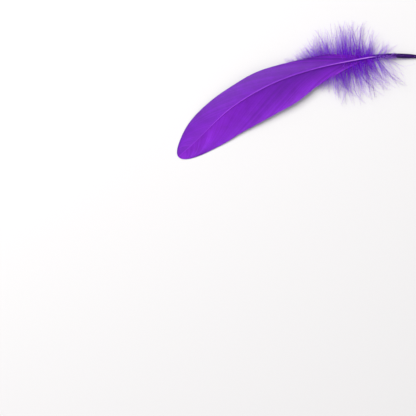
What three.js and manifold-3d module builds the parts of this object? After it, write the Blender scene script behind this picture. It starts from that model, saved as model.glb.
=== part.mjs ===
// A dyed goose feather, lying on its hollow side. Millimetres, +Z up.
// The origin is on the resting surface, under the place where the quill touches it.
// +X is parallel to the straight line from the quill's end to the feather's tip. The shaft bows
// towards -Y, the narrow outer vane is on that side, and the wide inner vane is on the +Y side.
// Quill, shaft, vanes and down grow from one follicle, so they are joined in one solid.
import * as THREE from "three";
import { mergeVertices } from "three/addons/utils/BufferGeometryUtils.js";
import Module from "manifold-3d";

const wasm = await Module();
wasm.setup();

// Driving dimensions. A list holds values at equal steps from the quill's end to the feather's tip.
const SHAFT_LENGTH = 180;
const REST_AT = 9; // along the shaft from the quill's end, where the quill touches the surface
const SHAFT_TURN_DEG = [0, 3.5, 13.5, 14.5, 19, 23.5, 31, 37, 46.5, 47.5, 43];
const SHAFT_HEIGHT = [0.9, 1.9, 3.6, 5.3, 6.8, 7.7, 7.9, 7.2, 5.3, 2.2, 0.1];
const SHAFT_RADIUS = [1.5, 1.55, 1.3, 0.98, 0.78, 0.65, 0.55, 0.45, 0.36, 0.28, 0.18];
const QUILL_TAPER = 12; // the length over which the quill narrows to its blunt end
const QUILL_END = 0.5; // the end's radius, as a share of the quill's
const PORE_RADIUS = 0.35; // the small opening in the quill's end
const PORE_DEPTH = 2.5;

// A vane's barbs leave the shaft in order from the quill's side, run forward by up to `advance`
// along it, and end on the vane's edge.
const VANES = [
  {
    side: -1,
    width: [0.4, 1.5, 3.2, 5.6, 7.8, 9.3, 11.8, 11.9, 12.6, 13.0, 11.4],
    edgeHeight: [1.5, 2.2, 3.2, 4.4, 5.2, 5.2, 4.6, 3.4, 1.8, 0.3, 0.1],
    advance: 28,
    slopeAtShaft: false,
  },
  {
    side: 1,
    width: [0.5, 2, 4.3, 7.6, 12.1, 17.8, 19.2, 18.6, 16.2, 13.1, 11.4],
    edgeHeight: [1.5, 2.2, 3.1, 4.1, 4.6, 4.1, 3.4, 2.4, 1.2, 0.2, 0.1],
    advance: 36,
    slopeAtShaft: true,
  },
];
const VANE_FROM = 28; // where the first firm barb leaves the shaft
const VANE_TO = 179.9; // where the last one does
const ROUND_FROM = 0.8; // the share of the length past which the tip rounds off
const CAMBER = 1.8; // how unevenly a vane's drop is spread between shaft and edge
const BARB_CURVE = 1.65; // how much a barb bends forward on its way out
const NEAR_TIP = 0.7; // a barb's advance, as a share of the shaft left, close to the tip
const LOCKS_IN_VANE = 30;
const STEPS_OUT = 5;
const VANE_THICK_ROOT = 0.5;
const VANE_THICK_EDGE = 0.4;
const PLEAT = 0.2; // how far each lock of barbs stands above the seams beside it
const SCALLOP = 0.02; // how far the seams stay short of the edge, as a share of a barb

// The down. Its tufts leave the shaft at even steps from DOWN_FROM to DOWN_TO, and fan from
// backward to forward. Their angles are measured from the shaft's forward direction.
const DOWN_FROM = 27;
const DOWN_TO = 72;
const TUFTS_PER_SIDE = 22;
const DOWN = [
  {
    side: -1,
    angleDeg: [139, 108, 100, 98, 94, 89, 85, 78, 68, 60],
    length: [11, 17, 21, 25, 25.5, 25, 24, 19, 15, 12],
  },
  {
    side: 1,
    angleDeg: [146, 112, 93, 84, 79, 75, 74, 72, 68, 60],
    length: [20, 19, 25, 27, 25, 22, 19, 15, 12, 9],
  },
];
const TUFT_END_HEIGHT = [-0.2, 5.5, 11.5]; // low tufts lie on the surface, high ones stand up
const TUFT_RISE = 2.2; // how high a tuft arches between its ends
const TUFT_HALF_WIDTH = [0.7, 1.4, 1.8, 1.8, 1.3, 0.25];
const TUFT_HALF_THICK = [0.55, 0.6, 0.6, 0.5, 0.4, 0.2];
const TUFT_CURL_DEG = [26, -14, 8, -22, 16]; // how far a tuft bends on its way, tuft by tuft
const TUFT_RAGGED = 0.1; // how much neighbouring lengths differ

// The value at share u of a list of equal steps, on a smooth curve through them.
function along(list, u) {
  const x = THREE.MathUtils.clamp(u, 0, 1) * (list.length - 1);
  const i = Math.min(Math.floor(x), list.length - 2);
  const t = x - i;
  const [a, b, c, d] = [-1, 0, 1, 2].map((k) => {
    return list[THREE.MathUtils.clamp(i + k, 0, list.length - 1)];
  });
  const slopeIn = (c - a) / 2;
  const slopeOut = (d - b) / 2;
  return (
    b + slopeIn * t + (3 * (c - b) - 2 * slopeIn - slopeOut) * t * t +
    (2 * (b - c) + slopeIn + slopeOut) * t * t * t
  );
}

// The shaft's line seen from above, as points one step apart, turned so that its ends lie along +X.
const STEP = 0.5;
const plan = [new THREE.Vector2(0, 0)];
const turn = (s) => THREE.MathUtils.degToRad(along(SHAFT_TURN_DEG, s / SHAFT_LENGTH));
for (let s = STEP / 2; s < SHAFT_LENGTH; s += STEP) {
  const last = plan[plan.length - 1];
  plan.push(last.clone().add(new THREE.Vector2(STEP, 0).rotateAround(new THREE.Vector2(), turn(s))));
}
const chordAngle = plan[plan.length - 1].angle();

function planPoint(s) {
  const x = THREE.MathUtils.clamp(s / STEP, 0, plan.length - 1);
  const i = Math.min(Math.floor(x), plan.length - 2);
  return plan[i].clone().lerp(plan[i + 1], x - i).rotateAround(new THREE.Vector2(), -chordAngle);
}
const start = planPoint(REST_AT);

// The shaft's own directions at s: the point on its axis, forward, and the +Y side's direction.
function shaftAt(s) {
  const p = planPoint(s).sub(start);
  const heading = turn(s) - chordAngle;
  return {
    point: new THREE.Vector3(p.x, p.y, along(SHAFT_HEIGHT, s / SHAFT_LENGTH)),
    forward: new THREE.Vector3(Math.cos(heading), Math.sin(heading), 0),
    left: new THREE.Vector3(-Math.sin(heading), Math.cos(heading), 0),
  };
}

// Moves every vertex of a closed three.js geometry and returns it as a solid.
function solid(geometry, place) {
  geometry.deleteAttribute("normal");
  geometry.deleteAttribute("uv");
  const merged = mergeVertices(geometry, 1e-4);
  const position = merged.getAttribute("position");
  const p = new THREE.Vector3();
  for (let i = 0; i < position.count; i++) {
    place(p.fromBufferAttribute(position, i));
    position.setXYZ(i, p.x, p.y, p.z);
  }
  const made = new wasm.Manifold(new wasm.Mesh({
    numProp: 3,
    vertProperties: new Float32Array(position.array),
    triVerts: new Uint32Array(merged.index.array),
  }));
  if (made.volume() > 0) return made;
  const turned = new Uint32Array(merged.index.array).reverse();
  return new wasm.Manifold(new wasm.Mesh({
    numProp: 3,
    vertProperties: new Float32Array(position.array),
    triVerts: turned,
  }));
}

// Quill and shaft: a cylinder stretched along the shaft's line, with the quill's blunt end.
function makeShaft() {
  const sides = 8;
  const steps = 42;
  const geometry = new THREE.CylinderGeometry(1, 1, SHAFT_LENGTH, sides, steps);
  geometry.rotateY(Math.PI / sides); // a flat of the section faces down
  geometry.rotateZ(-Math.PI / 2);
  geometry.translate(SHAFT_LENGTH / 2, 0, 0);
  return solid(geometry, (p) => {
    const at = shaftAt(p.x);
    const taper = QUILL_END + (1 - QUILL_END) * Math.sqrt(Math.min(1, p.x / QUILL_TAPER));
    const radius = along(SHAFT_RADIUS, p.x / SHAFT_LENGTH) * taper;
    const upright = p.y * radius;
    p.copy(at.point.addScaledVector(at.left, p.z * radius));
    p.z += upright;
  });
}

// The small opening in the quill's end.
function makePore() {
  const geometry = new THREE.CylinderGeometry(PORE_RADIUS, PORE_RADIUS, 2 * PORE_DEPTH, 8);
  geometry.rotateZ(-Math.PI / 2);
  return solid(geometry, (p) => {
    const at = shaftAt(0);
    const offset = at.forward.clone().multiplyScalar(p.x).addScaledVector(at.left, p.z);
    const height = p.y;
    p.copy(at.point).add(offset);
    p.z += height;
  });
}

// How far a vane's edge stands from the shaft at s, seen from above.
function vaneWidth(vane, s) {
  const u = s / SHAFT_LENGTH;
  const past = Math.max(0, (u - ROUND_FROM) / (1 - ROUND_FROM));
  return along(vane.width, u) * Math.sqrt(Math.max(0, 1 - past * past));
}

// A point of a vane's middle layer: on the barb that leaves the shaft at root, share t of its way.
function vanePoint(vane, root, t) {
  const nearTip = Math.tanh((NEAR_TIP * (SHAFT_LENGTH - root)) / vane.advance);
  const narrow = Math.sqrt(along(vane.width, root / SHAFT_LENGTH) / Math.max(...vane.width));
  const s = root + vane.advance * nearTip * narrow * t;
  const out = 1 - (1 - t) ** BARB_CURVE;
  const at = shaftAt(s);
  const height = along(vane.edgeHeight, s / SHAFT_LENGTH);
  const fall = vane.slopeAtShaft ? 1 - (1 - out) ** CAMBER : out ** CAMBER;
  const p = at.point.clone().addScaledVector(at.left, vane.side * out * vaneWidth(vane, s));
  p.z = THREE.MathUtils.lerp(at.point.z, height, fall);
  return p;
}

// Both vanes: one thin plate of barbs lying side by side, from the outer vane's edge over the
// shaft to the inner vane's edge, pleated where one lock of barbs meets the next.
function makeVanes() {
  const columns = 2 * LOCKS_IN_VANE;
  const geometry = new THREE.BoxGeometry(1, 1, 1, columns, 2 * STEPS_OUT, 1);
  return solid(geometry, (p) => {
    const vane = VANES[p.y < 0 ? 0 : 1];
    const column = Math.round((p.x + 0.5) * columns);
    const t = Math.abs(p.y) * 2;
    const onRidge = column % 2 === 1;
    const root = THREE.MathUtils.lerp(VANE_FROM, VANE_TO, column / columns);
    const reach = onRidge ? 1 : 1 - SCALLOP;
    const thick = THREE.MathUtils.lerp(VANE_THICK_ROOT, VANE_THICK_EDGE, t);
    const lift = p.z * thick + (onRidge ? 1 : -1) * (PLEAT / 2) * Math.sin(Math.PI * t) ** 0.5;
    p.copy(vanePoint(vane, root, t * reach));
    p.z = Math.max(p.z, thick / 2 - PLEAT / 2) + lift;
  });
}

// One tuft of down, a flat tapering lock that arches out from the shaft and curls.
function makeTuft(down, i) {
  const share = i / (TUFTS_PER_SIDE - 1);
  const at = shaftAt(THREE.MathUtils.lerp(DOWN_FROM, DOWN_TO, share));
  const uneven = i % 2 === 0 ? 1 : -1;
  const length = along(down.length, share) * (1 + TUFT_RAGGED * uneven);
  const angle = along(down.angleDeg, share);
  const curl = TUFT_CURL_DEG[i % TUFT_CURL_DEG.length];
  const endHeight = TUFT_END_HEIGHT[i % TUFT_END_HEIGHT.length];
  const geometry = new THREE.CylinderGeometry(1, 1, 1, 6, TUFT_HALF_WIDTH.length - 1);
  geometry.rotateZ(-Math.PI / 2);
  return solid(geometry, (p) => {
    const t = p.x + 0.5;
    const way = THREE.MathUtils.degToRad(angle + curl * (0.5 - t));
    const out = at.forward.clone().multiplyScalar(Math.cos(way));
    out.addScaledVector(at.left, down.side * Math.sin(way));
    const across = new THREE.Vector3(-out.y, out.x, 0);
    const arch = TUFT_RISE * Math.sin(Math.PI * t);
    const centre = at.point.clone().addScaledVector(out, length * t);
    centre.z = THREE.MathUtils.lerp(at.point.z, endHeight, t) + arch;
    centre.addScaledVector(across, p.z * along(TUFT_HALF_WIDTH, t));
    centre.z += p.y * along(TUFT_HALF_THICK, t);
    p.copy(centre);
  });
}

let feather = makeShaft().subtract(makePore()).add(makeVanes());
for (const down of DOWN) {
  for (let i = 0; i < TUFTS_PER_SIDE; i++) feather = feather.add(makeTuft(down, i));
}

// What would sink below the surface is levelled off on it.
const ROOM = 400;
const below = solid(new THREE.BoxGeometry(ROOM, ROOM, ROOM), (p) => {
  p.z -= ROOM / 2;
});
feather = feather.subtract(below);

const cut = feather.getMesh();
const geometry = new THREE.BufferGeometry();
geometry.setAttribute("position", new THREE.BufferAttribute(cut.vertProperties, 3));
geometry.setIndex(new THREE.BufferAttribute(cut.triVerts, 1));
geometry.computeVertexNormals();

const dyedKeratin = new THREE.MeshStandardMaterial({
  color: new THREE.Color(0.2, 0.02, 0.5),
  roughness: 0.6,
  metalness: 0,
});
const mesh = new THREE.Mesh(geometry, dyedKeratin);
mesh.name = "feather";

const group = new THREE.Group();
group.add(mesh);

export default group;
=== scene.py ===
# A dyed goose feather that lies on its hollow side, seen from straight above.
# Lengths are metres in the part's frame: +X from the quill to the tip, +Z up from the surface.
# The feather's own sizes are in millimetres and are turned into metres as each mesh is made.
import math

import bmesh
import bpy
import numpy as np
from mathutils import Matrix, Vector
from mathutils.bvhtree import BVHTree


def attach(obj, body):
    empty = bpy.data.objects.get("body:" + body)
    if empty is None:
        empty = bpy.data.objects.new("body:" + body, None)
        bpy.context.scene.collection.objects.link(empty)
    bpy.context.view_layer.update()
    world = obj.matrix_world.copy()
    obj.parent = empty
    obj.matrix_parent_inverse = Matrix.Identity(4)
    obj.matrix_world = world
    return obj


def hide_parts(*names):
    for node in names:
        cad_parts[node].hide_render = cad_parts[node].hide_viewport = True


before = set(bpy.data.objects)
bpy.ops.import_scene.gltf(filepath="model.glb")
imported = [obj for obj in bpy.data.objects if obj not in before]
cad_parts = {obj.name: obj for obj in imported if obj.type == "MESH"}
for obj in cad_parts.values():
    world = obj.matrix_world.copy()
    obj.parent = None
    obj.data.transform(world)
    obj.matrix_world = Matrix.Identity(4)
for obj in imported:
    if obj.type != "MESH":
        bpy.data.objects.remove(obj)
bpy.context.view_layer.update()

# Camera, surface and lights. The camera looks straight down on a pale table, turned so that the
# feather's tip points to the lower left of the picture. A large soft lamp stands at the upper
# left, and a pale room fills the shadows.
PICTURE_WIDTH = 0.2773
PICTURE_CENTRE = Vector((0.16035, 0.0429, 0))
PICTURE_TURN = math.radians(157.4)
CAMERA_HEIGHT = 1.6
SENSOR_MM = 36
CAMERA_SEES_TO = 20
bpy.ops.object.select_all(action="DESELECT")
bpy.ops.object.camera_add(
    location=PICTURE_CENTRE + Vector((0, 0, CAMERA_HEIGHT)), rotation=(0, 0, PICTURE_TURN)
)
camera = bpy.context.object
camera.data.sensor_width = SENSOR_MM
camera.data.lens = SENSOR_MM * CAMERA_HEIGHT / PICTURE_WIDTH
camera.data.clip_end = CAMERA_SEES_TO
bpy.context.scene.camera = camera
bpy.context.scene.view_settings.view_transform = "Standard"

TABLE_SIZE = 6
TABLE_PLACE = (0.1, 0, -0.0001)  # its top is just below the feather's lowest points
TABLE_COLOUR = (0.775, 0.765, 0.765, 1)
TABLE_ROUGHNESS = 0.6
bpy.ops.mesh.primitive_plane_add(size=TABLE_SIZE, location=TABLE_PLACE)
table = bpy.context.object
table.name = "table"
table_paint = bpy.data.materials.new("pale_table")
table_paint.use_nodes = True
table_shader = table_paint.node_tree.nodes["Principled BSDF"]
table_shader.inputs["Base Color"].default_value = TABLE_COLOUR
table_shader.inputs["Roughness"].default_value = TABLE_ROUGHNESS
table.data.materials.append(table_paint)

LAMP_AIM = Vector((0.09, 0, 0))
LAMP_DISTANCE = 1.3
LAMP_HEIGHT_DEG = 56
LAMP_BEARING_DEG = -68  # from +X, so the light comes from the picture's upper left
LAMP_SIZE = 1.0
LAMP_WATTS = 17.3
ROOM_COLOUR = (1, 0.99, 1, 1)
ROOM_STRENGTH = 0.54
lamp_height = math.radians(LAMP_HEIGHT_DEG)
lamp_bearing = math.radians(LAMP_BEARING_DEG)
towards_lamp = Vector((
    math.cos(lamp_height) * math.cos(lamp_bearing),
    math.cos(lamp_height) * math.sin(lamp_bearing),
    math.sin(lamp_height),
))
bpy.ops.object.light_add(
    type="AREA",
    location=LAMP_AIM + towards_lamp * LAMP_DISTANCE,
    rotation=towards_lamp.to_track_quat("Z", "Y").to_euler(),
)
lamp = bpy.context.object
lamp.data.size = LAMP_SIZE
lamp.data.energy = LAMP_WATTS
world = bpy.data.worlds.new("pale_room")
world.use_nodes = True
world.node_tree.nodes["Background"].inputs["Color"].default_value = ROOM_COLOUR
world.node_tree.nodes["Background"].inputs["Strength"].default_value = ROOM_STRENGTH
bpy.context.scene.world = world

# Quill and shaft. One tapering stem of keratin: a round, hollow, bare quill with a blunt end and
# a pore in it, then a squarer shaft with a groove along its underside. The dye has soaked the
# quill nearly black. The shaft looks paler than the vanes beside it through a painted highlight
# along its crown, and its sides are painted darker as shade. It is extruded from the quill's end,
# station by station. A list holds values at equal steps from the quill's end to the feather's tip.
MM = 0.001
SHAFT_LENGTH = 180.0
REST_AT = 9.0  # along the shaft from the quill's end, where the quill touches the table
SHAFT_TURN_DEG = [0, 3.5, 13.5, 14.5, 19, 23.5, 31, 37, 46.5, 47.5, 43]
SHAFT_HEIGHT = [0.9, 1.9, 3.6, 5.3, 6.8, 7.7, 7.9, 7.2, 5.3, 2.2, 0.1]
SHAFT_RADIUS = [1.5, 1.55, 1.15, 0.85, 0.7, 0.6, 0.55, 0.45, 0.36, 0.28, 0.18]
SHAFT_SIDES = 16
QUILL_TAPER = 7.0  # the length over which the quill narrows to its blunt end
QUILL_END = 0.5  # the end's radius, as a share of the quill's
QUILL_STATIONS = [0, 0.4, 1, 2, 4, 6, 9]
SHAFT_STATIONS_FROM = 12
SHAFT_STATION_GAP = 3
PORE_RADIUS = 0.35
PORE_DEPTH = 2.5
GROOVE_FROM = 32.0
GROOVE_FULL_FROM = 38.0
GROOVE_DEPTH = 0.55  # as a share of the shaft's radius
GROOVE_EDGE = 0.9  # how far below the axis the groove starts, as a share of the radius
GROOVE_SLOPE = 0.08  # how much further down it is at its full depth, as the same share
SMOOTH_TO_DEG = 50
PLAN_STEP = 0.5


def along(values, share):
    """The value at each share of a list of equal steps, on a smooth curve through them."""
    values = np.asarray(values, float)
    x = np.clip(share, 0, 1) * (len(values) - 1)
    i = np.minimum(x.astype(int), len(values) - 2)
    t = x - i
    a, b, c, d = (values[np.clip(i + k, 0, len(values) - 1)] for k in (-1, 0, 1, 2))
    slope_in, slope_out = (c - a) / 2, (d - b) / 2
    return (
        b + slope_in * t + (3 * (c - b) - 2 * slope_in - slope_out) * t**2
        + (2 * (b - c) + slope_in + slope_out) * t**3
    )


def fade(values, none_at, full_at):
    """A share from 0 to 1, as the values go from one mark to the other, either way round."""
    return np.clip((values - none_at) / (full_at - none_at), 0, 1)


# The shaft's line seen from above, turned so that its ends lie along +X.
halfway = np.arange(PLAN_STEP / 2, SHAFT_LENGTH, PLAN_STEP)
turn = np.radians(along(SHAFT_TURN_DEG, halfway / SHAFT_LENGTH))
plan_steps = np.c_[np.cos(turn), np.sin(turn)] * PLAN_STEP
plan = np.vstack([[0, 0], np.cumsum(plan_steps, axis=0)])
chord = math.atan2(plan[-1, 1], plan[-1, 0])
plan = plan @ np.array([[math.cos(chord), -math.sin(chord)], [math.sin(chord), math.cos(chord)]])
plan_at = np.arange(len(plan)) * PLAN_STEP
plan -= [np.interp(REST_AT, plan_at, plan[:, i]) for i in (0, 1)]


def shaft_at(s):
    """Points on the shaft's axis at distances s from the quill's end, and its heading there."""
    s = np.asarray(s, float)
    x = np.interp(s, plan_at, plan[:, 0])
    y = np.interp(s, plan_at, plan[:, 1])
    z = along(SHAFT_HEIGHT, s / SHAFT_LENGTH)
    heading = np.radians(along(SHAFT_TURN_DEG, s / SHAFT_LENGTH)) - chord
    return np.stack([x, y, z], axis=-1), heading


def shaft_radius(s):
    blunt = QUILL_END + (1 - QUILL_END) * np.sqrt(np.clip(s / QUILL_TAPER, 0, 1))
    return along(SHAFT_RADIUS, s / SHAFT_LENGTH) * blunt


stations = np.r_[
    QUILL_STATIONS, np.arange(SHAFT_STATIONS_FROM, SHAFT_LENGTH, SHAFT_STATION_GAP), SHAFT_LENGTH
]
centres, headings = shaft_at(stations)
radii = shaft_radius(stations)
bpy.ops.object.select_all(action="DESELECT")
bpy.ops.mesh.primitive_circle_add(
    vertices=SHAFT_SIDES, radius=radii[0] * MM, fill_type="NGON", location=centres[0] * MM,
    rotation=(math.pi / 2, 0, headings[0] + math.pi / 2),
)
shaft = bpy.context.object
shaft.name = "shaft"
bpy.ops.object.transform_apply(location=True, rotation=True, scale=True)
bpy.ops.object.mode_set(mode="EDIT")
bpy.ops.mesh.select_all(action="SELECT")
for i in range(1, len(stations)):
    here = Vector(centres[i] * MM)
    bpy.ops.mesh.extrude_region_move(
        TRANSFORM_OT_translate={"value": here - Vector(centres[i - 1] * MM)}
    )
    bpy.ops.transform.rotate(
        value=-(headings[i] - headings[i - 1]), orient_axis="Z", center_override=here
    )
    size = radii[i] / radii[i - 1]
    bpy.ops.transform.resize(value=(size, size, size), center_override=here)

# The pore is sunk into the face whose middle has the lowest X. That is not the flat end but a
# small face on the quill's side next to it, one of two that tie, one above the other.
bpy.ops.mesh.select_all(action="DESELECT")
edit = bmesh.from_edit_mesh(shaft.data)
min(edit.faces, key=lambda face: face.calc_center_median().x).select_set(True)
bmesh.update_edit_mesh(shaft.data)
bpy.ops.mesh.inset(thickness=(radii[0] - PORE_RADIUS) * MM)
inward = Vector((math.cos(headings[0]), math.sin(headings[0]), 0)) * PORE_DEPTH * MM
bpy.ops.mesh.extrude_region_move(TRANSFORM_OT_translate={"value": inward})
bpy.ops.mesh.select_all(action="SELECT")
bpy.ops.mesh.normals_make_consistent(inside=False)
bpy.ops.object.mode_set(mode="OBJECT")

# The groove is pressed into the underside, and how high each point lies on the shaft is kept for
# the material's painted highlight and shade, from -1 at the bottom to 1 along the crown.
points = np.array([vertex.co for vertex in shaft.data.vertices]) / MM
nearest = np.argmin(((points[:, None, :2] - plan[None]) ** 2).sum(-1), axis=1)
s_of_point = plan_at[nearest]
axis_height = along(SHAFT_HEIGHT, s_of_point / SHAFT_LENGTH)
rise = (points[:, 2] - axis_height) / shaft_radius(s_of_point)
deep = fade(s_of_point, GROOVE_FROM, GROOVE_FULL_FROM)
deep = deep * np.clip((-rise - GROOVE_EDGE) / GROOVE_SLOPE, 0, 1)
points[:, 2] += GROOVE_DEPTH * shaft_radius(s_of_point) * deep
points[:, 2] = np.maximum(points[:, 2], 0)
for vertex, point in zip(shaft.data.vertices, points):
    vertex.co = point * MM
crown = shaft.data.attributes.new("crown", "FLOAT", "POINT")
crown.data.foreach_set("value", rise.astype(np.float32))
bpy.ops.object.shade_smooth_by_angle(angle=math.radians(SMOOTH_TO_DEG))


def plain_material(name, roughness, specular):
    """A new node material, its node tree's nodes and links, and its shader."""
    material = bpy.data.materials.new(name)
    material.use_nodes = True
    tree = material.node_tree
    shader = tree.nodes["Principled BSDF"]
    shader.inputs["Roughness"].default_value = roughness
    shader.inputs["Specular IOR Level"].default_value = specular
    return material, tree.nodes, tree.links, shader


def add_node(nodes, kind, **values):
    """A new node with these values on its inputs, whose names have _ in place of spaces."""
    node = nodes.new(kind)
    for socket, value in values.items():
        node.inputs[socket.replace("_", " ")].default_value = value
    return node


def add_mix(nodes, blend):
    """A new node that mixes two colours."""
    mix = nodes.new("ShaderNodeMix")
    mix.data_type = "RGBA"
    mix.blend_type = blend
    return mix


def read_attribute(nodes, name):
    """The value of one of the mesh's own point attributes."""
    node = nodes.new("ShaderNodeAttribute")
    node.attribute_name = name
    return node.outputs["Fac"]


def ramp_colour(nodes, links, value, stops):
    """The colour that this value has on a ramp of stops, pairs of a position and a colour."""
    node = nodes.new("ShaderNodeValToRGB")
    elements = node.color_ramp.elements
    while len(elements) > 1:
        elements.remove(elements[-1])
    for i, (position, colour) in enumerate(stops):
        element = elements[0] if i == 0 else elements.new(position)
        element.position = position
        element.color = (*colour, 1)
    links.new(value, node.inputs["Fac"])
    return node.outputs["Color"]


def scaled_colour(nodes, links, colour, value):
    """This colour, with its brightness multiplied by this value."""
    node = nodes.new("ShaderNodeHueSaturation")
    links.new(colour, node.inputs["Color"])
    links.new(value, node.inputs["Value"])
    return node.outputs["Color"]


def add_bump(nodes, links, shader, height, strength, distance):
    """Roughens the shader's surface by this height."""
    bump = add_node(nodes, "ShaderNodeBump", Strength=strength, Distance=distance)
    links.new(height, bump.inputs["Height"])
    links.new(bump.outputs["Normal"], shader.inputs["Normal"])


# The shaft's keratin: its sides are painted darker as shade and its crown is a painted highlight,
# a pale line; both change from the quill to the tip, and fine lines run along it.
shaft_keratin, nodes, links, shader = plain_material("dyed_shaft_highlight_and_shade", roughness=0.3, specular=0.12)
place = nodes.new("ShaderNodeTexCoord")
split = nodes.new("ShaderNodeSeparateXYZ")
links.new(place.outputs["Object"], split.inputs[0])
run = add_node(
    nodes, "ShaderNodeMapRange",
    From_Min=-REST_AT * MM, From_Max=(SHAFT_LENGTH - REST_AT) * MM,
)
links.new(split.outputs["X"], run.inputs["Value"])
# Painted shade: the darker colour of the shaft's sides.
shaded_side_colour = ramp_colour(nodes, links, run.outputs["Result"], [
    (0.0, (0.022, 0.002, 0.075)),
    (0.08, (0.024, 0.002, 0.085)),
    (0.12, (0.05, 0.006, 0.2)),
    (0.18, (0.09, 0.006, 0.37)),
    (0.3, (0.17, 0.012, 0.5)),
    (0.55, (0.21, 0.02, 0.55)),
    (0.7, (0.28, 0.028, 0.65)),
    (1.0, (0.33, 0.032, 0.77)),
])
# Painted highlight: the pale line along the crown, which is also lighter down the quill's middle.
crown_highlight_colour = ramp_colour(nodes, links, run.outputs["Result"], [
    (0.0, (0.04, 0.006, 0.11)),
    (0.08, (0.045, 0.006, 0.14)),
    (0.11, (0.08, 0.014, 0.26)),
    (0.15, (0.12, 0.02, 0.38)),
    (0.172, (0.62, 0.27, 0.84)),
    (0.25, (0.52, 0.2, 0.76)),
    (0.33, (0.38, 0.11, 0.66)),
    (0.42, (0.27, 0.06, 0.56)),
    (0.6, (0.29, 0.065, 0.58)),
    (0.7, (0.27, 0.045, 0.56)),
    (0.82, (0.29, 0.038, 0.64)),
    (1.0, (0.33, 0.035, 0.77)),
])
highlight_stripe = add_node(nodes, "ShaderNodeMapRange", From_Min=0.925, From_Max=0.99)
highlight_stripe.interpolation_type = "SMOOTHSTEP"
links.new(read_attribute(nodes, "crown"), highlight_stripe.inputs["Value"])
# Mixes the painted highlight on the crown with the painted shade on the sides.
tints = add_mix(nodes, "MIX")
links.new(highlight_stripe.outputs["Result"], tints.inputs["Factor"])
links.new(shaded_side_colour, tints.inputs["A"])
links.new(crown_highlight_colour, tints.inputs["B"])
grain_scale = add_node(nodes, "ShaderNodeMapping", Scale=(0.12, 1, 1))
links.new(place.outputs["Object"], grain_scale.inputs["Vector"])
grain = add_node(nodes, "ShaderNodeTexNoise", Scale=2600, Detail=4)
links.new(grain_scale.outputs["Vector"], grain.inputs["Vector"])
grain_tone = add_node(
    nodes, "ShaderNodeMapRange", From_Min=0.3, From_Max=0.7, To_Min=0.72, To_Max=1.12
)
links.new(grain.outputs["Fac"], grain_tone.inputs["Value"])
mottled = scaled_colour(nodes, links, tints.outputs["Result"], grain_tone.outputs["Result"])
links.new(mottled, shader.inputs["Base Color"])
add_bump(nodes, links, shader, grain.outputs["Fac"], strength=0.25, distance=0.00004)
shaft.data.materials.append(shaft_keratin)
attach(shaft, "root")
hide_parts("feather")

# Outer vane. The narrow blade of firm barbs on the outside of the shaft's bend. Each barb is a
# flat ridged strip that grows from the shaft, bends forward and hooks into the next one, so the
# blade is one sheet with fine lines. The lowest barbs have lost their hooks and fray.
OUTER_VANE = {
    "side": -1,
    "width": [0.4, 2.4, 5.2, 7.4, 8.8, 9.8, 11.8, 11.9, 12.6, 13.0, 11.4],
    "edge_height": [1.5, 2.2, 3.2, 4.4, 5.2, 5.2, 4.6, 3.4, 1.8, 0.3, 0.1],
    "advance": 66.0,  # how far along the shaft a barb of the widest stretch runs
    "slope_at_shaft": False,  # the blade falls mostly near its edge
    "loose_to": 46.0,  # barbs from here on keep their full length
    "tone_at_shaft": 0.46,  # tones are 0 for the darkest colour and 1.25 for the palest, dye and painted shade together
    "tone_at_edge": 0.4,
    "tone_at_tip": 0.62,
    "shade_at_base": 0.02,
    "shade_at_shaft": 0.04,
    "bloom": 0.1,  # painted sheen: how much greyish reflection is painted on where this vane faces the lamp
}
ROUND_FROM = 0.8  # the share of the length past which the tip rounds off
CAMBER = 1.8  # how unevenly a vane's drop is spread between shaft and edge
BARB_CURVE = 1.28  # how much a barb bends forward on its way out
NEAR_TIP = 1.0  # a barb's advance, as a share of the shaft left, close to the tip
FIRST_BARB = 28.0
LAST_BARB = 179.9
BARBS = 260
BARB_ROWS = 26
BARB_OVERLAP = 0.66
BARB_NARROWS_FROM = 0.92
BARB_END_WIDTH = 0.3
BARB_REAR_EDGE = -0.03  # a barb's rear edge tucks under the barb behind it
BARB_FRONT_EDGE = 0.02
BARB_RIDGE = 0.03
BARB_DEPTH = 0.08
BARB_LIFT = 0.012
BARB_DRIFT = 0.02
BARB_SHORTFALL = 0.004
LOOSE_SHORTFALL = 0.55
LOWEST_BARB_POINT = 0.02
LOCKS = 60
LOCK_WIDTH = (2, 8)
LOCK_DRIFT = 0.12  # how far the barbs of one lock lean along the shaft together
LOCK_DRIFT_DRAWS = 70
TONE_BEND = 0.75
PALEST_TONE = 1.25
SHAFT_SHADE_AT = [0, 0.03, 0.09, 0.2]  # shares of a barb's length
SHAFT_SHADE = [1, 0.8, 0.25, 0]
SHAFT_SHADE_FADES = (128, 100)
BASE_SHADE_FADES = (80, 40)
TIP_TONE_GROWS = (85, 135)
STREAKS = ((0.7, 0.85), (2.0, 0.6), (7.0, 0.35))  # widths along the shaft, and weights
STREAK_TONE = 0.1
STREAK_DRAWS = 2000
STREAKS_FROM = 19
STREAKS_TO = 199
STREAKS_DOUBLE = (75, 45)
# Painted sheen along the shaft, strongest part way out from the base.
PAINTED_SHEEN_AT = [28, 45, 62, 105, 150]
PAINTED_SHEEN = [0, 0.3, 1.1, 0.6, 0.2]


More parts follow.
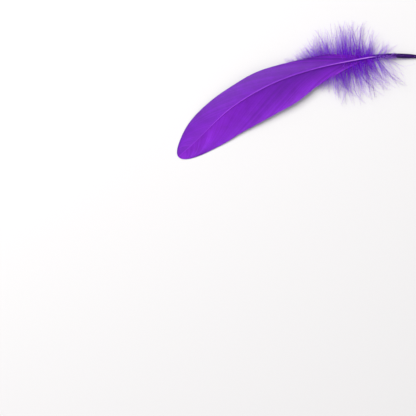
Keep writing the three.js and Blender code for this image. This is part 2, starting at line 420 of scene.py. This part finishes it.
def vane_at(vane, root, t):
    """Points of a vane: on the barb that leaves the shaft at root, at share t of its way."""
    root, t = np.broadcast_arrays(np.asarray(root, float), np.asarray(t, float))
    near_tip = np.tanh(NEAR_TIP * np.clip(SHAFT_LENGTH - root, 0, None) / vane["advance"])
    narrow = np.sqrt(along(vane["width"], root / SHAFT_LENGTH) / max(vane["width"]))
    s = np.minimum(root + vane["advance"] * near_tip * narrow * t, SHAFT_LENGTH)
    out = 1 - (1 - t) ** BARB_CURVE
    past = fade(s / SHAFT_LENGTH, ROUND_FROM, 1)
    width = along(vane["width"], s / SHAFT_LENGTH) * np.sqrt(1 - past**2)
    point, heading = shaft_at(s)
    across = vane["side"] * out * width
    edge = along(vane["edge_height"], s / SHAFT_LENGTH)
    fall = 1 - (1 - out) ** CAMBER if vane["slope_at_shaft"] else out**CAMBER
    x = point[..., 0] - np.sin(heading) * across
    y = point[..., 1] + np.cos(heading) * across
    z = point[..., 2] + (edge - point[..., 2]) * fall
    return np.stack([x, y, z], axis=-1)


def unit(vectors):
    return vectors / np.maximum(np.linalg.norm(vectors, axis=-1, keepdims=True), 1e-9)


def add_mesh(name, points, faces, **tints):
    """A new object with this mesh, in millimetres, and a point attribute for each tint."""
    mesh = bpy.data.meshes.new(name)
    mesh.from_pydata((points * MM).tolist(), [], faces)
    for tint, values in tints.items():
        attribute = mesh.attributes.new(tint, "FLOAT", "POINT")
        attribute.data.foreach_set("value", np.asarray(values, np.float32).ravel())
    mesh.shade_smooth()
    piece = bpy.data.objects.new(name, mesh)
    bpy.context.collection.objects.link(piece)
    return piece


def tube_faces(lines, rows, around):
    """Faces of closed tubes whose points come line by line, row by row, around each row."""
    first = (np.arange(lines) * rows * around)[:, None, None, None]
    row = (np.arange(rows - 1) * around)[:, None, None]
    k = np.arange(around)[:, None]
    after = (k + 1) % around
    wall = np.concatenate([k, after, after + around, k + around], axis=1)
    walls = (first + row + wall).reshape(-1, 4).tolist()
    start = (np.arange(lines) * rows * around)[:, None]
    ends = (start + np.arange(around)[::-1]).tolist()
    ends += (start + (rows - 1) * around + np.arange(around)).tolist()
    return walls + ends


def streaks_along(root, rng):
    """A random value for each barb, which changes smoothly over the streaks' widths."""
    streak = 0
    for width, weight in STREAKS:
        at = np.arange(STREAKS_FROM, STREAKS_TO, width)
        streak = streak + weight * np.interp(root, at, rng.normal(0, 1, STREAK_DRAWS)[: len(at)])
    return streak * (1 + fade(root, *STREAKS_DOUBLE))


def barb_tones(vane, root, t, streak):
    """How pale each barb is along its length, from 0 to 1, as dye and painted shade together."""
    root, streak = root[:, None], streak[:, None]
    tone = vane["tone_at_shaft"] + (vane["tone_at_edge"] - vane["tone_at_shaft"]) * t**TONE_BEND
    # Painted shade along the shaft and at the base, under the down.
    shade = vane["shade_at_shaft"] * fade(root, *SHAFT_SHADE_FADES)
    shade = shade * np.interp(t, SHAFT_SHADE_AT, SHAFT_SHADE)
    tone = tone - (shade + vane["shade_at_base"] * fade(root, *BASE_SHADE_FADES))
    tone = tone + (vane["tone_at_tip"] - tone) * fade(root, *TIP_TONE_GROWS)
    tone = tone + STREAK_TONE * streak * np.interp(t, [0, 0.3, 1], [0.4, 1, 1])
    return np.clip(tone / PALEST_TONE, 0, 1)


def make_barbs(name, vane, seed):
    """The barbs of one vane, as flat ridged strips that overlap like shingles."""
    rng = np.random.default_rng(seed)
    gap = (LAST_BARB - FIRST_BARB) / BARBS
    root = FIRST_BARB + gap * (np.arange(BARBS) + 0.5)
    lock = np.searchsorted(np.cumsum(rng.uniform(*LOCK_WIDTH, LOCKS)) + FIRST_BARB, root)
    drift = rng.uniform(-LOCK_DRIFT, LOCK_DRIFT, LOCK_DRIFT_DRAWS)[lock]
    drift = drift + rng.normal(0, BARB_DRIFT, BARBS)
    lift = rng.normal(0, BARB_LIFT, BARBS)[:, None]
    reach = 1 - np.abs(rng.normal(0, BARB_SHORTFALL, BARBS))
    loose = fade(root, vane["loose_to"], FIRST_BARB)
    reach = reach - LOOSE_SHORTFALL * loose * rng.uniform(0, 1, BARBS)
    streak = streaks_along(root, rng)

    t = np.linspace(0, 1, BARB_ROWS + 1)
    way = reach[:, None] * t
    moved = np.clip(root[:, None] + drift[:, None] * t**2, FIRST_BARB, SHAFT_LENGTH)
    half = BARB_OVERLAP * gap * np.interp(t, [0, BARB_NARROWS_FROM, 1], [1, 1, BARB_END_WIDTH])
    rear = vane_at(vane, np.clip(moved - half, FIRST_BARB - 1, SHAFT_LENGTH), way)
    middle = vane_at(vane, moved, way)
    front = vane_at(vane, np.clip(moved + half, FIRST_BARB, SHAFT_LENGTH), way)
    forward = np.gradient(middle, axis=1)
    up = unit(np.cross(front - rear, forward) * -vane["side"])
    clear = np.isfinite(up) & (np.abs(up).sum(-1, keepdims=True) > 0.1)
    up = np.where(clear, up, [0, 0, 1])
    ridge = (lift + BARB_RIDGE * (1 - 0.5 * t))[..., None]
    base = lift[..., None]
    ring = [
        rear + up * (base + BARB_REAR_EDGE),
        middle + up * ridge,
        front + up * (base + BARB_FRONT_EDGE),
        middle + up * (base - BARB_DEPTH),
    ]
    if vane["side"] > 0:
        ring = ring[::-1]
    points = np.stack(ring, axis=2)
    points[..., 2] = np.maximum(points[..., 2], LOWEST_BARB_POINT)

    tone = barb_tones(vane, root, t, streak)
    bloom = vane["bloom"] * np.interp(root, PAINTED_SHEEN_AT, PAINTED_SHEEN)[:, None, None]
    shape = points.shape[:3]
    return add_mesh(
        name, points.reshape(-1, 3), tube_faces(BARBS, BARB_ROWS + 1, len(ring)),
        tone=np.broadcast_to(tone[..., None], shape),
        reach=np.broadcast_to(way[..., None], shape),
        bloom=np.broadcast_to(bloom, shape),
    )


def let_light_through(nodes, links, shader, colour, share):
    """Makes the material partly translucent, in this colour."""
    through = nodes.new("ShaderNodeBsdfTranslucent")
    links.new(colour, through.inputs["Color"])
    both = add_node(nodes, "ShaderNodeMixShader", Fac=share)
    links.new(shader.outputs[0], both.inputs[1])
    links.new(through.outputs[0], both.inputs[2])
    links.new(both.outputs[0], nodes["Material Output"].inputs["Surface"])


# The vanes' keratin: each barb has its own tone, paler at its end and carrying painted shade,
# under cloudy patches and, on the outer vane, a thin greyish painted sheen where it faces the
# lamp. The hooks between the barbs roughen it, and some light shines through.
vane_keratin, nodes, links, shader = plain_material("dyed_vane_shade_and_sheen", roughness=0.42, specular=0.25)
# The tones give the dye together with painted shade.
dye_and_shade = ramp_colour(nodes, links, read_attribute(nodes, "tone"), [
    (0.0, (0.08, 0.003, 0.34)),
    (0.2, (0.19, 0.008, 0.52)),
    (0.48, (0.26, 0.014, 0.66)),
    (0.8, (0.39, 0.036, 0.86)),
    (1.0, (0.52, 0.09, 1.0)),
])
edge_gain = ramp_colour(nodes, links, read_attribute(nodes, "reach"), [
    (0.0, (1, 1, 1)),
    (0.78, (1, 1, 1)),
    (0.93, (1.03, 1.3, 0.99)),
    (1.0, (1.1, 1.7, 1.0)),
])
edged = add_mix(nodes, "MULTIPLY")
edged.inputs["Factor"].default_value = 1
links.new(dye_and_shade, edged.inputs["A"])
links.new(edge_gain, edged.inputs["B"])
place = nodes.new("ShaderNodeTexCoord")
patches = add_node(nodes, "ShaderNodeTexNoise", Scale=130, Detail=5, Roughness=0.6)
links.new(place.outputs["Object"], patches.inputs["Vector"])
patch_tone = add_node(
    nodes, "ShaderNodeMapRange", From_Min=0.3, From_Max=0.7, To_Min=0.9, To_Max=1.1
)
links.new(patches.outputs["Fac"], patch_tone.inputs["Value"])
patched = scaled_colour(nodes, links, edged.outputs["Result"], patch_tone.outputs["Result"])
# Painted sheen: a greyish lavender reflection mixed into the colour.
sheened = add_mix(nodes, "MIX")
sheened.inputs["B"].default_value = (0.5, 0.36, 0.66, 1)
links.new(read_attribute(nodes, "bloom"), sheened.inputs["Factor"])
links.new(patched, sheened.inputs["A"])
links.new(sheened.outputs["Result"], shader.inputs["Base Color"])
hooks = add_node(nodes, "ShaderNodeTexNoise", Scale=9000)
links.new(place.outputs["Object"], hooks.inputs["Vector"])
add_bump(nodes, links, shader, hooks.outputs["Fac"], strength=0.3, distance=0.00002)
let_light_through(nodes, links, shader, sheened.outputs["Result"], share=0.25)

outer_barbs = make_barbs("outer_vane", OUTER_VANE, seed=11)
outer_barbs.data.materials.append(vane_keratin)
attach(outer_barbs, "root")
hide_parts("feather")

# Inner vane. The wide blade on the hollow side of the bend, made of the same barbs, which are
# longer and lean further forward. It falls away from the shaft at once, and its tones are painted
# dark there as shade, growing paler towards its flatter edge.
INNER_VANE = {
    "side": 1,
    "width": [0.5, 2, 4.3, 7.6, 12.1, 17.8, 19.2, 18.6, 16.2, 13.1, 11.4],
    "edge_height": [1.5, 2.2, 3.1, 4.1, 4.6, 4.1, 3.4, 2.4, 1.2, 0.2, 0.1],
    "advance": 78.0,
    "slope_at_shaft": True,
    "loose_to": 42.0,
    # Painted shade: a low tone at the shaft, rising to a pale tone at the edge.
    "tone_at_shaft": 0.12,
    "tone_at_edge": 0.94,
    "tone_at_tip": 0.88,
    "shade_at_base": 0.06,
    # A negative painted shade, which lightens the shadow cast beside the shaft.
    "shade_at_shaft": -0.12,
    "bloom": 0.0,
}
inner_barbs = make_barbs("inner_vane", INNER_VANE, seed=12)
inner_barbs.data.materials.append(vane_keratin)
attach(inner_barbs, "root")
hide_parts("feather")

# Down. Loose barbs at the base of the vanes that have no hooks. Each is a soft thread with two
# rows of fine hairs, and together they stand round the shaft as a fluffy tuft. Those nearest the
# quill lie over the vanes, and the others under them. Angles are from the shaft's forward
# direction, and the lists run from DOWN_FROM to DOWN_TO.
DOWN_FROM = 27.0
DOWN_TO = 74.0
OUTER_DOWN = {
    "side": -1,
    "angle_deg": [134, 106, 99, 97, 93, 88, 83, 76, 64, 54],
    "length": [12, 17, 21, 25, 25.5, 25, 24, 20, 17.5, 16],
    "bend_deg": 12,
    "sparse_to": 48.0,
    "over_vane_to": 36.0,
}
INNER_DOWN = {
    "side": 1,
    "angle_deg": [124, 104, 90, 81, 75, 72, 71, 70, 66, 58],
    "length": [26, 26, 28, 29, 27, 24, 20, 16, 12, 9],
    "bend_deg": 28,
    "sparse_to": 43.0,
    "over_vane_to": 35.0,
}

# A layer is so many barbs over a span of the shaft. Each has a random share of the length above,
# scattered by spread and curl in degrees. Clumped is how far it follows its clump, hair is its
# hairs' length, lift is how high it starts on the shaft in radii, and pale is added to its fade.
LONG_DOWN = [
    {"barbs": 350, "span": (28, 74), "long": (0.5, 1.12), "spread": 10, "curl": 20, "hair": 0.8,
     "clumped": 1.0, "thinned": True, "lift": (0, 0.5), "pale": 0},
    {"barbs": 34, "span": (22, 36), "long": (0.6, 0.98), "spread": 20, "curl": 34, "hair": 0.36,
     "clumped": 0.6, "thinned": False, "lift": (0, 0.8), "pale": 0.2},
    {"barbs": 80, "span": (15.5, 30), "long": (0.07, 0.2), "spread": 50, "curl": 80, "hair": 0.6,
     "clumped": 0, "thinned": False, "lift": (0.2, 1.1), "pale": 0.5},
]
SHORT_DOWN = [
    {"barbs": 340, "span": (31, 70), "long": (0.14, 0.5), "spread": 16, "curl": 36, "hair": 0.8,
     "clumped": 0.6, "thinned": False, "lift": (0, 0.6), "pale": 0},
    {"barbs": 270, "span": (61, 84), "long": (0.5, 0.95), "spread": 10, "curl": 20, "hair": 0.75,
     "clumped": 0.15, "thinned": False, "lift": (0, 0), "pale": 0},
]
CLUMPS = 20
CLUMP_TURN_DEG = 3.6
CLUMP_CURL_DEG = 14
CLUMP_END_HEIGHT = (1, 10)
SPARSE_FROM = 27.0
SPAREST = 0.35
OVER_VANE_SCATTER = 7
START_UNDER_VANE = -0.6  # in radii of the shaft
END_UNDER_VANE = (0.5, 0.8)  # as a share of the start's height
END_HEIGHT = (0.3, 11.5)
END_HEIGHT_SCATTER = 2.5
RISE_LATE = 2.0
FALL_LATE = 1.2
CURL_FROM = 0.25
WAVE = 0.24
WAVES = 7
WAVE_PHASE = 6
DOWN_ROWS = 12
THREAD_RADIUS = 0.08
THREAD_TAPER = 0.75
HAIR_RADIUS = 0.036
HAIR_GAP = 0.34
HAIR_FROM = 0.04
HAIR_PLACES = [0, 0.25, 0.7, 1]
HAIR_SHARES = [0.55, 1, 0.75, 0.28]  # of the longest hair, at those places along the thread
HAIR_SHARE_SCATTER = (0.7, 1.1)
BARB_HAIR_SCATTER = (0.7, 1.25)
HAIR_LEAN_DEG = 48
HAIR_LEAN_SCATTER_DEG = 9
HAIR_SAG = 0.08
TWIST = 0.9
TWIST_SCATTER = 0.35
VANE_GAP = 0.15
LOWEST_DOWN_POINT = 0.03
TABLE_ZONE = 0.5  # no vane is lower than this over the down
ABOVE_ALL = 60
COVER_ROWS = 140
COVER_COLUMNS = 24
THIRDS = (0, 2 * math.pi / 3, 4 * math.pi / 3)


def vane_cover():
    """Both vanes as one plain surface, to tell what lies over a point."""
    points, faces = [], []
    for vane in (OUTER_VANE, INNER_VANE):
        root = np.linspace(FIRST_BARB, LAST_BARB, COVER_ROWS)[:, None]
        grid = vane_at(vane, root, np.linspace(0, 1, COVER_COLUMNS))
        corner = COVER_COLUMNS * np.arange(COVER_ROWS - 1)[:, None] + np.arange(COVER_COLUMNS - 1)
        corner = corner + len(points)
        next_row = corner + COVER_COLUMNS
        quads = np.stack([corner, corner + 1, next_row + 1, next_row], axis=-1)
        points += grid.reshape(-1, 3).tolist()
        faces += quads.reshape(-1, 4).tolist()
    return BVHTree.FromPolygons(points, faces)


def keep_clear(points, below, cover):
    """Moves points that would pierce a vane to the side of it that their barb lies on."""
    for i in np.nonzero(points[:, 2] > TABLE_ZONE)[0]:
        hit = cover.ray_cast((*points[i, :2], ABOVE_ALL), (0, 0, -1))[0]
        if hit is None:
            continue
        if below[i]:
            points[i, 2] = min(points[i, 2], hit.z - VANE_GAP)
        else:
            points[i, 2] = max(points[i, 2], hit.z + VANE_GAP)
    points[:, 2] = np.maximum(points[:, 2], LOWEST_DOWN_POINT)
    return points


def loose_lines(start, heading, curl, length, end_height, rise, rng):
    """Centre lines of loose barbs that leave flat, curl on their way and end at a height."""
    t = np.linspace(0, 1, DOWN_ROWS)
    phase = rng.uniform(0, WAVE_PHASE, (len(start), 1))
    wave = rng.normal(0, WAVE, (len(start), 1)) * np.sin(WAVES * t + phase)
    way = heading[:, None] + curl[:, None] * (t - CURL_FROM) + wave
    step = np.stack([np.cos(way), np.sin(way)], -1) * (length / (DOWN_ROWS - 1))[:, None, None]
    step[:, 0] = 0
    plan_view = start[:, None, :2] + np.cumsum(step, axis=1)
    height = start[:, 2:] + (end_height[:, None] - start[:, 2:]) * t ** rise[:, None]
    return np.concatenate([plan_view, height[..., None]], axis=-1)


def fluff_mesh(name, lines, hair_length, pale, below, cover, rng):
    """Threads along these lines, with two rows of fine hairs on each."""
    count, rows = lines.shape[:2]
    t = np.linspace(0, 1, rows)
    ahead = unit(np.gradient(lines, axis=1))
    side = unit(np.cross(ahead, [0, 0, 1.0]))
    above = np.cross(ahead, side)
    radius = THREAD_RADIUS * (1 - THREAD_TAPER * t)[None, :, None]
    ring = [lines + radius * (math.cos(a) * side + math.sin(a) * above) for a in THIRDS]
    thread_points = np.stack(ring, axis=2)
    faces = tube_faces(count, rows, len(ring))
    tones = rng.uniform(0, 1, count)

    # Each hair has an owner, its thread, and a place along it from 0 to 1.
    span = np.linalg.norm(np.diff(lines, axis=1), axis=2).sum(1)
    hairs = np.maximum((2 * span / HAIR_GAP).astype(int), 2)
    owner = np.repeat(np.arange(count), hairs)
    place = np.concatenate([(np.arange(n) + 0.5) / n for n in hairs])
    place = HAIR_FROM + (1 - HAIR_FROM) * place
    row = np.minimum((place * (rows - 1)).astype(int), rows - 2)
    part = (place * (rows - 1) - row)[:, None]

    def between(field):
        return field[owner, row] * (1 - part) + field[owner, row + 1] * part

    root, tangent = between(lines), unit(between(ahead))
    beside, over = unit(between(side)), unit(between(above))
    twist = rng.uniform(-TWIST, TWIST, count)[owner] + rng.normal(0, TWIST_SCATTER, len(owner))
    flip = np.where(np.arange(len(owner)) % 2 == 0, 1.0, -1.0)
    outward = (np.cos(twist)[:, None] * beside + np.sin(twist)[:, None] * over) * flip[:, None]
    lean = np.radians(rng.normal(HAIR_LEAN_DEG, HAIR_LEAN_SCATTER_DEG, len(owner)))[:, None]
    way = np.cos(lean) * tangent + np.sin(lean) * outward
    size = hair_length[owner] * np.interp(place, HAIR_PLACES, HAIR_SHARES)
    size = size * rng.uniform(*HAIR_SHARE_SCATTER, len(owner))
    tip = root + way * size[:, None]
    tip[:, 2] -= HAIR_SAG * size
    flat = unit(np.cross(way, tangent + [0.01, 0.02, 0.03]))  # never quite along the hair itself
    deep = np.cross(way, flat)
    foot = [root + HAIR_RADIUS * (math.cos(a) * flat + math.sin(a) * deep) for a in THIRDS]
    hair_points = np.stack([*foot, tip], axis=1)
    first = thread_points.size // 3 + 4 * np.arange(len(owner))[:, None]
    for corners in ([0, 1, 3], [1, 2, 3], [2, 0, 3], [2, 1, 0]):
        faces += (first + corners).tolist()

    points = np.concatenate([thread_points.reshape(-1, 3), hair_points.reshape(-1, 3)])
    hidden = np.concatenate([np.repeat(below, rows * 3), np.repeat(below[owner], 4)])
    points = keep_clear(points, hidden, cover)
    tone = np.concatenate([np.repeat(tones, rows * 3), np.repeat(tones[owner], 4)])
    tip_share = np.stack([place, place, place, np.minimum(place + 0.25, 1)], axis=1)
    reach = np.concatenate([
        (t[:, None] + np.zeros(3) + pale[:, None, None]).ravel(),
        (tip_share + pale[owner][:, None]).ravel(),
    ])
    return add_mesh(name, points, faces, tone=tone, reach=reach)


def make_down(name, down, layers, cover, seed):
    """One tuft of down on one side of the shaft, which parts into clumps."""
    rng = np.random.default_rng(seed)
    side = down["side"]
    clump_at = np.linspace(DOWN_FROM, DOWN_TO, CLUMPS)
    clump_turn = rng.normal(0, CLUMP_TURN_DEG, CLUMPS)
    clump_curl = rng.normal(0, CLUMP_CURL_DEG, CLUMPS)
    clump_height = rng.uniform(*CLUMP_END_HEIGHT, CLUMPS)
    lines, hair, pale, below = [], [], [], []
    for layer in layers:
        count, (low, high) = layer["barbs"], layer["span"]
        s = low + (high - low) * (np.arange(count) + rng.uniform(0, 1, count)) / count
        kept = np.maximum(fade(s, SPARSE_FROM, down["sparse_to"]), SPAREST)
        s = s[rng.uniform(0, 1, count) < (kept if layer["thinned"] else 1)]
        count = len(s)
        start, heading = shaft_at(s)
        under = s > down["over_vane_to"] + rng.normal(0, OVER_VANE_SCATTER, count)
        lift = np.where(under, START_UNDER_VANE, rng.uniform(*layer["lift"], count))
        start[:, 2] += lift * shaft_radius(s)
        share = (s - DOWN_FROM) / (DOWN_TO - DOWN_FROM)
        clump = np.argmin(np.abs(s[:, None] - clump_at), axis=1)
        angle = along(down["angle_deg"], share) + layer["clumped"] * clump_turn[clump]
        angle += rng.normal(0, layer["spread"], count)
        curl = layer["clumped"] * (down["bend_deg"] + clump_curl[clump])
        curl = side * (curl + rng.normal(0, layer["curl"], count))
        length = along(down["length"], share) * rng.uniform(*layer["long"], count)
        end_height = clump_height[clump] + rng.normal(0, END_HEIGHT_SCATTER, count)
        end_height = np.clip(end_height, *END_HEIGHT)
        end_height = np.where(under, start[:, 2] * rng.uniform(*END_UNDER_VANE, count), end_height)
        rise = np.where(end_height > start[:, 2], RISE_LATE, FALL_LATE)
        lines.append(loose_lines(
            start, heading + side * np.radians(angle), np.radians(curl), length, end_height, rise,
            rng,
        ))
        hair.append(layer["hair"] * rng.uniform(*BARB_HAIR_SCATTER, count))
        pale.append(np.full(count, layer["pale"]))
        below.append(under)
    lines, hair, pale, below = (np.concatenate(parts) for parts in (lines, hair, pale, below))
    return fluff_mesh(name, lines, hair, pale, below, cover, rng)


# The down's keratin: deep in colour at the root and pale at the ends, each barb a little brighter
# or darker than the next, and lit mostly from within.
down_keratin, nodes, links, shader = plain_material("dyed_down", roughness=0.8, specular=0.1)
fading = ramp_colour(nodes, links, read_attribute(nodes, "reach"), [
    (0.0, (0.4, 0.016, 0.8)),
    (0.22, (0.5, 0.04, 0.96)),
    (0.6, (0.55, 0.14, 0.94)),
    (1.0, (0.62, 0.34, 0.9)),
])
bright = add_node(nodes, "ShaderNodeMapRange", To_Min=0.92, To_Max=1.22)
links.new(read_attribute(nodes, "tone"), bright.inputs["Value"])
dyed = scaled_colour(nodes, links, fading, bright.outputs["Result"])
links.new(dyed, shader.inputs["Base Color"])
let_light_through(nodes, links, shader, dyed, share=0.65)

cover = vane_cover()
for name, down, layers, seed in (
    ("outer_down", OUTER_DOWN, LONG_DOWN, 21),
    ("inner_down", INNER_DOWN, LONG_DOWN, 22),
    ("outer_fluff", OUTER_DOWN, SHORT_DOWN, 23),
    ("inner_fluff", INNER_DOWN, SHORT_DOWN, 24),
):
    tuft = make_down(name, down, layers, cover, seed)
    tuft.data.materials.append(down_keratin)
    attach(tuft, "root")
    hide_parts("feather")
